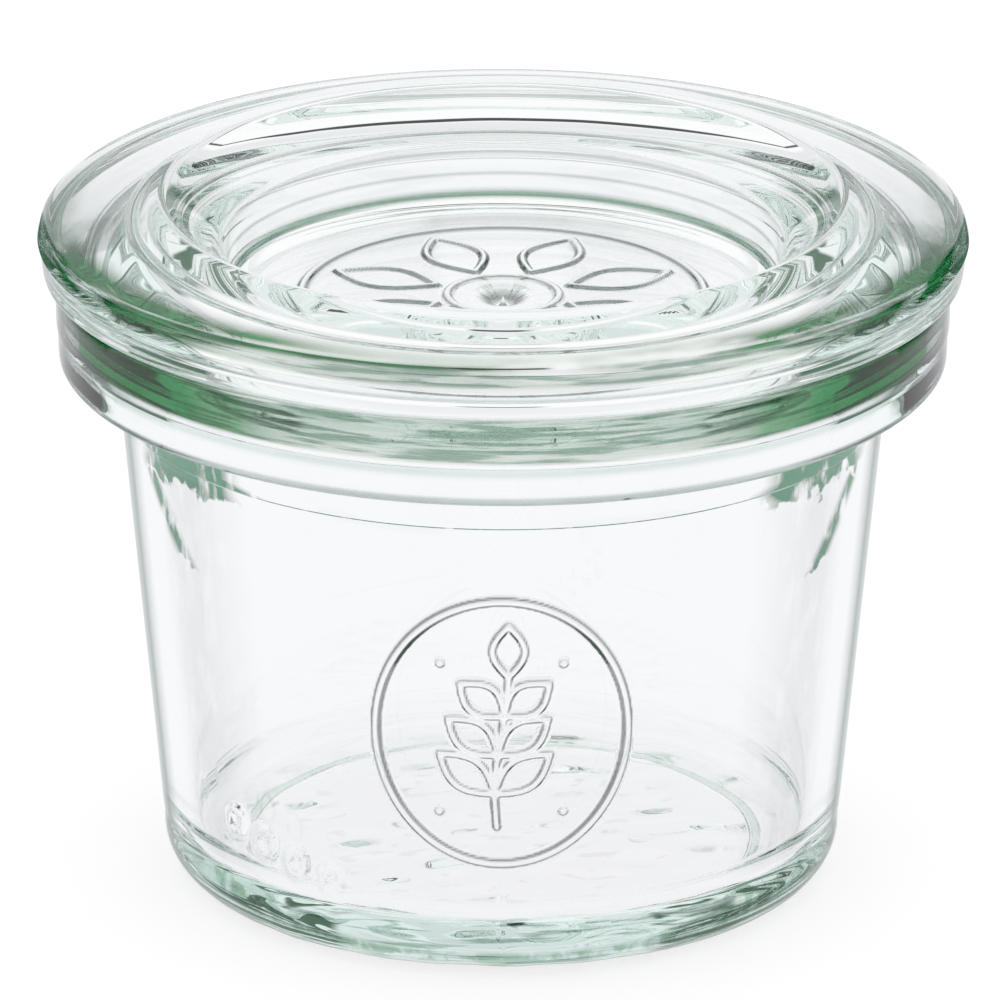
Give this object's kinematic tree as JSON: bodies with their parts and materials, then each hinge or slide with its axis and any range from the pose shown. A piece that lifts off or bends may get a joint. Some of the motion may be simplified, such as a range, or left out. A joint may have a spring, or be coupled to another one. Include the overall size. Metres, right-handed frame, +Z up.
{
  "type": "glass canning jar",
  "caption": "Small clear pressed-glass canning jar with drafted wall, wide rim flange and a loose recessed glass lid.",
  "frame": {"origin": "centre of the ring that the jar stands on, at table height", "axes": "+Z up along the jar's axis; -Y towards the front, where the raised ornament is; +X to the right"},
  "size_m": [0.07, 0.07, 0.0533],
  "materials": {
    "jar_glass": "clear pressed glass with a faint green tint",
    "lid_glass": "clear pressed glass with a faint green tint"
  },
  "bodies": {
    "root": {"jar": "jar_glass", "lid": "lid_glass"}
  },
  "joints": []
}
